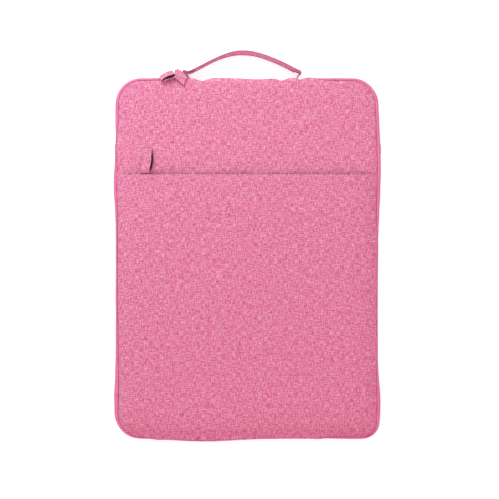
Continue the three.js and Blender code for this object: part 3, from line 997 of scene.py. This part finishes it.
def make_ring(side):
    """The oval wire ring of one pull, between the eye of its slider and the loop of its tab."""
    eye, far = joint_place(f"{side}_ring_turn"), joint_place(f"{side}_tab_turn")
    across = np.array(joint_record(f"{side}_ring_turn")["axis"], float)
    length = np.linalg.norm(far - eye)
    along = (far - eye) / length
    low, high = box_mm(f"{side}_pull_ring")
    half = min((high[0] - low[0]) / 2, length / 2 + RING_WIRE) - RING_WIRE
    turn = np.linspace(0, 2 * math.pi, 48, endpoint=False)
    cosine, sine = np.cos(turn), np.sin(turn)
    centre = (eye + far) / 2 + np.outer(cosine * length / 2, along) + np.outer(sine * half, across)
    tangent = unit_rows(np.outer(-sine * length / 2, along) + np.outer(cosine * half, across))
    up = np.broadcast_to(np.cross(along, across), centre.shape)
    ring = wire(f"{side}_ring", turn, centre, np.cross(tangent, up), up, RING_WIRE, 10, True)
    dress(ring, "metal", f"{side}_pull_ring", f"{side}_pull_ring")


def make_pocket_slider():
    """A low slider that wraps the pocket zip's chain, with its eye towards the mouth."""
    low, high = box_mm("pocket_slider")
    eye = joint_place("pocket_ring_turn")
    middle = (low[0] + high[0]) / 2
    body_high = CHAIN_Y + 3.6
    parts = [soft_box("plate", (low[0], low[1], base), (high[0], body_high, base + 0.9), 0.4)
             for base in (CHAIN_Z - 1.9, CHAIN_Z + 1)]
    parts.append(soft_box("neck", (high[0] - 2.6, CHAIN_Y - 0.5, CHAIN_Z - 1.4),
                          (high[0] - 0.6, CHAIN_Y + 0.5, CHAIN_Z + 1.5), 0.2))
    under, over = eye[2] - 1.3, eye[2] + 1.3
    for y0, y1, z0, z1 in ((body_high - 0.6, high[1], over - 0.8, over),
                           (body_high - 0.6, high[1], under, under + 0.8),
                           (high[1] - 0.9, high[1], under, over)):
        parts.append(soft_box("eye", (middle - 0.8, y0, z0), (middle + 0.8, y1, z1), 0.25))
    slider = join_pieces("pocket_slider_body", parts)
    dress(slider, "metal", "pocket_slider", "pocket_slider")


# ---- fabric pulls ----


ACROSS = np.array([-0.5, -0.47, -0.38, -0.2, 0, 0.2, 0.38, 0.47, 0.5])
PULL_CLOTH = 0.85
# thickness of the dark strip that paints the shade inside a pull's fold
PULL_SHADE_PLY = 0.25
PULL_STEPS = 24
PULL_WIDTH = box_mm("pocket_pull_tab")[1][0] - box_mm("pocket_pull_tab")[0][0]


def ribbon_loop(name, frames, gap, widths, thickness, slide, skew):
    """A strip of cloth folded in two round a ring.

    frames are the middle line from the fold to the free end and its width and normal directions,
    gap the room between the plies, widths those of the upper and lower ply, slide how far the
    lower ply has slipped sideways, and skew how much further one corner of the end reaches.
    """
    centre, across, normal = frames
    half = (gap / 2)[:, None]
    upper = centre + normal * half
    lower = centre - normal * half + across * np.broadcast_to(slide, len(centre))[:, None]
    forward = (centre[0] - centre[1]) / np.linalg.norm(centre[0] - centre[1])
    turns = np.linspace(math.pi / 2, -math.pi / 2, 9)[1:-1]
    bend = [centre[0] + half[0] * (normal[0] * math.sin(t) + forward * math.cos(t)) for t in turns]
    line = np.vstack([upper[::-1], bend, lower])

    def both_plies(values):
        return np.vstack([values[::-1], np.repeat(values[:1], len(bend), axis=0), values])

    fold_width = np.linspace(widths[0][0], widths[1][0], len(bend))
    wide = np.concatenate([widths[0][::-1], fold_width, widths[1]])
    grid = line[:, None] + both_plies(across)[:, None] * (wide[:, None] * ACROSS[None, :])[..., None]
    end_share = ramp(np.linspace(0, 1, len(centre)), 0.4, 1)
    stretch = np.concatenate([end_share[::-1], np.zeros(len(bend)), end_share])
    shear = (stretch * wide)[:, None] * skew * ACROSS[None, :]
    grid = grid + both_plies(tangents(centre))[:, None] * shear[..., None]
    piece = grid_piece(name, grid, strip_uv(run_length(line), ACROSS * wide.max()))
    thicken(piece, thickness, offset=0)
    soften_mesh(piece)
    return piece


def folded_pull(name, frames, gap, widths, slide=0, skew=0):
    """A pull tab: the folded strip, and a thin dark strip inside the fold that paints the shade in
    the hollow between the plies.
    """
    body = f"{name}_pull_tab"
    cloth = ribbon_loop(f"{name}_tab_cloth", frames, gap, widths, PULL_CLOTH, slide, skew)
    dress(cloth, "pull", body, body)
    # painted shade: a smaller copy of the strip in dark binding cloth darkens the hollow between the
    # plies
    inner_gap = np.maximum(gap - PULL_CLOTH - PULL_SHADE_PLY, PULL_SHADE_PLY + 0.1)
    inner_widths = [width - 0.6 for width in widths]
    tape = ribbon_loop(f"{name}_tab_painted_shade", frames, inner_gap, inner_widths, PULL_SHADE_PLY, slide, skew)
    dress(tape, "binding", body)


def pull_frames(route, tilts):
    """A middle line through a few points, and the width and normal directions along it. tilts
    are the strip's roll about its line, in degrees, at the route's points."""
    line = spline([list(p) + [t] for p, t in zip(route, tilts)], PULL_STEPS)
    centre, roll = line[:, :3], np.radians(line[:, 3])
    tangent = tangents(centre)
    level = unit_rows(np.cross(tangent, np.array([0, 0, 1])))
    upright = np.cross(level, tangent)
    across = level * np.cos(roll)[:, None] + upright * np.sin(roll)[:, None]
    return centre, across, np.cross(across, tangent)


def along_pull(*values):
    """Values spread evenly along a pull, at each of its points."""
    return np.interp(np.linspace(0, 1, PULL_STEPS), np.linspace(0, 1, len(values)), values)


def make_main_pulls():
    """Two folded strips: the left one has fallen over on its edge, the right one lies flat."""
    pivot = joint_place("left_tab_turn")
    steps = [(2.4, -2.5, 2.6), (-0.4, -3.4, 3.2), (-4, -4.6, 3.6), (-8, -6.6, 3.8),
             (-10.8, -8.3, 3.8)]
    frames = pull_frames([pivot + step for step in steps], [-56, -58, -61, -62, -62])
    width = along_pull(7.6, 9.6, PULL_WIDTH, PULL_WIDTH, PULL_WIDTH)
    folded_pull("left", frames, along_pull(3.6, 4.4, 4, 3, 1.8), (width, width))
    pivot = joint_place("right_tab_turn")
    steps = [(-0.3, 0.7, 0), (1.2, -2.2, 1.4), (3.6, -5.9, 2.9), (3.3, -9, 3.8), (2.5, -11.6, 4.2)]
    frames = pull_frames([pivot + step for step in steps], [10, 12, 12, 10, 8])
    width = along_pull(4.8, 8.4, PULL_WIDTH, PULL_WIDTH, PULL_WIDTH)
    folded_pull("right", frames, along_pull(3.2, 3, 2.2, 1.7, 1.6), (width, width), skew=-0.35)


FOLD_WIDTH = 3.4
PULL_ASIDE = 2.1  # how far the pull leans to the right above the hem


def make_pocket_pull():
    """A folded strip that stands out of the mouth and comes down to lie on the panel. Its lower
    ply has slipped out to the right."""
    pivot = joint_place("pocket_tab_turn")
    tip_y = box_mm("pocket_pull_tab")[1][1] - 0.5
    route = [pivot + (0, -1.1, -0.1)]
    for place in (0, 0.12, 0.4, 0.75, 1):
        y = pivot[1] + place * (tip_y - pivot[1])
        rest = float(front_height(np.array([pivot[0]]), np.array([y]))[0]) + 1.2
        aside = PULL_ASIDE * ramp(place, 0, 0.4)
        route.append([pivot[0] + aside, y, pivot[2] + (rest - pivot[2]) * place ** 0.8])
    frames = pull_frames(route, [4, 12, 23, 25, 18, 8])
    lower = along_pull(FOLD_WIDTH, 5.5, 9.5, PULL_WIDTH, PULL_WIDTH, PULL_WIDTH)
    folded_pull("pocket", frames, along_pull(2.4, 3.2, 4.1, 3.9, 2.8, 1.6),
                (along_pull(PULL_WIDTH), lower), slide=along_pull(0.4, 1.1, 1.6, 1.5, 1, 0.3))


# ---- carry handle ----

HANDLE_Z = (handle_low[2] + handle_high[2]) / 2
HANDLE_HALF = (handle_high[2] - handle_low[2]) / 2
SWING_AXIS = joint_place("handle_swing")
SWING = math.radians(60)

# Middle of the strap from the left fold over the arch to the right fold, and its thickness there
STRAP = [(-68.4, 204.1), (-64, 202.4), (-60, 203.6), (-49, 209.2), (-33, 217.2),
         (-17, 222.7), (-4, 224), (10, 222.3), (27, 216.7), (43, 209.5), (52.6, 204.4),
         (56.2, 202.4)]
STRAP_THICKNESS = [2.2, 3, 3.2, 2.9, 2.9, 4, 4.6, 4.4, 4.3, 4.3, 4.3, 3.6]
# The outer ply's folds at both ends: (x, y, thickness)
LEFT_FOLD = [(-62.8, TOP - 0.4, 3.2), (-64.5, 197.4, 3.1), (-66.2, 200.4, 2.7),
             (-68.1, 203.2, 2.8), (-68.9, 204.3, 2.6), (-69.2, 204.7, 2.1)]
RIGHT_FOLD = [(56, 204.2, 2.2), (57.3, 203.7, 2.8), (58, 202.3, 3), (57.4, 201, 2.6),
              (56.4, 199.8, 1.6), (54.8, 197, 1.3), (53.2, TOP - 1.2, 1.3)]
SKIN = 1.15  # thickness of the outer and inner ply


def room_to_swing(y):
    """Half the strap's width at height y, small enough to clear the top edge when it swings."""
    rise = np.maximum(y - SWING_AXIS[1], -1)
    return np.minimum(HANDLE_HALF, (1.2 + rise * math.cos(SWING)) / math.sin(SWING) + 1)


# Half of a strap's section: (share of its thickness, share of half its width)
STRAP_EDGE = [(0.35, -1), (0.5, -0.955), (0.5, -0.5), (0.5, 0), (0.5, 0.5), (0.5, 0.955),
              (0.35, 1)]


def leftward(line):
    """The direction to the left of a line in x and y, at each of its points."""
    tangent = tangents(line[:, :2])
    return np.column_stack([-tangent[:, 1], tangent[:, 0]])


def edge_ribbon(name, line, thickness, material, *nodes, inset=0):
    """A strap on edge: its middle line lies flat in x and y, and its width runs along z."""
    side = leftward(line)
    half = room_to_swing(line[:, 1]) - inset
    rounding = np.array(STRAP_EDGE + [(-out, up) for out, up in STRAP_EDGE[::-1]])
    out = rounding[None, :, 0] * np.reshape(thickness, (-1, 1))
    up = rounding[None, :, 1] * half[:, None]
    x = line[:, 0, None] + side[:, 0, None] * out
    y = line[:, 1, None] + side[:, 1, None] * out
    grid = np.stack([x, y, HANDLE_Z + up], axis=-1)
    uv = strip_uv(run_length(line[:, :2]), run_length(rounding * [1, HANDLE_HALF]))
    piece = grid_piece(name, grid, uv, wrap=True)
    cap_ends(piece, len(line), len(rounding))
    dress(piece, material, None, *nodes)
    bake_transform(piece)


def make_handle():
    middle = spline([list(p) + [t] for p, t in zip(STRAP, STRAP_THICKNESS)], 90)
    offset = leftward(middle) * ((middle[:, 2] - SKIN) / 2)[:, None]
    top_line, under_line = middle[:, :2] + offset, middle[:, :2] - offset

    arch = [(x, y, SKIN) for x, y in top_line[3:-4:5]]
    line = spline(LEFT_FOLD + arch + RIGHT_FOLD, 150)
    edge_ribbon("handle_outer_strap", line, line[:, 2], "handle",
                "handle_outer_fabric", "left_handle_tab", "right_handle_tab")
    edge_ribbon("handle_inner_strap", under_line[1:-3], SKIN, "handle_under",
                "handle_inner_fabric", inset=0.5)
    core = np.maximum(middle[2:, 2] - 2 * SKIN, 0.25) + 0.1
    edge_ribbon("handle_core", middle[2:, :2], core, "webbing", "handle_webbing", inset=0.35)


# ---- the scene ----


FLOOR_SIZE = 3000
FLOOR_COLOR, FLOOR_GLOW = (0.5, 0.62, 0.57, 1), 0.64
SKY_COLOR, SKY_STRENGTH = (1, 0.695, 0.815, 1), 0.72
# Lamps: place in metres, size, power, colour
LAMPS = {
    "overhead": ((0.15, 0.1, 1.9), 1.6, 13.4, (0.84, 1, 0.95)),
    "top_side": ((-0.42, 0.78, 0.66), 0.4, 8.1, (0.62, 1, 0.92)),
    "bottom_side": ((0.1, -0.85, 0.6), 0.5, 0.85, (1, 0.1, 0.25)),
}


def make_stage():
    corners = [(-1, -1), (1, -1), (1, 1), (-1, 1)]
    floor = new_mesh("floor", [(FLOOR_SIZE * x, FLOOR_SIZE * y, -0.02) for x, y in corners],
                     [(0, 1, 2, 3)])
    n = Nodes("white_floor")
    matte = n.add("ShaderNodeBsdfDiffuse", {"Color": FLOOR_COLOR})
    glow = n.add("ShaderNodeEmission", {"Color": (1, 1, 1, 1), "Strength": FLOOR_GLOW})
    both = n.add("ShaderNodeAddShader", {0: matte.outputs[0], 1: glow.outputs[0]})
    floor.data.materials.append(n.finish(both.outputs[0]))


def make_lights():
    world = bpy.data.worlds.new("studio")
    bpy.context.scene.world = world
    world.use_nodes = True
    background = world.node_tree.nodes["Background"]
    background.inputs["Color"].default_value = SKY_COLOR
    background.inputs["Strength"].default_value = SKY_STRENGTH
    for name, (place, size, power, color) in LAMPS.items():
        data = bpy.data.lights.new(name, "AREA")
        data.size, data.energy, data.color = size, power, color
        lamp = put_in_scene(name, data)
        lamp.location = place
        lamp.rotation_euler = (-Vector(place)).to_track_quat("-Z", "Y").to_euler()


VIEW_WIDTH = 540.4  # what the picture takes in at the height of the front, in millimetres
VIEW_CENTRE = (2.7, 9.5)
CAMERA_HEIGHT = 2600


def make_camera():
    data = bpy.data.cameras.new("camera")
    data.sensor_width = 36
    data.lens = 36 * (CAMERA_HEIGHT - FRONT) / VIEW_WIDTH
    data.clip_end = 20
    camera = put_in_scene("camera", data)
    camera.location = (VIEW_CENTRE[0] * MM, VIEW_CENTRE[1] * MM, CAMERA_HEIGHT * MM)
    bpy.context.scene.camera = camera


def finish_cad_nodes():
    """Materials for the CAD nodes that stay."""
    for name in ("back_foam", "back_lining", "front_seam_binding"):
        data = frame["nodes"][name].data
        data.materials.clear()
        data.materials.append(materials[name.split("_")[-1]])


bpy.context.scene.view_settings.view_transform = "Standard"
make_camera()
make_stage()
make_lights()
materials = make_materials()
finish_cad_nodes()
front_panel()
front_layer("lining", 1.8, 0.25)
front_layer("foam", 4.5)
for make_piece in (back_panel, pocket_panel, pocket_lining, make_gusset, make_main_coils,
                   make_pocket_zip, make_stops_and_patches):
    make_piece()
for side in ("left", "right"):
    make_slider(f"{side}_slider")
    make_ring(side)
make_ring("pocket")
make_pocket_slider()
make_main_pulls()
make_pocket_pull()
make_handle()
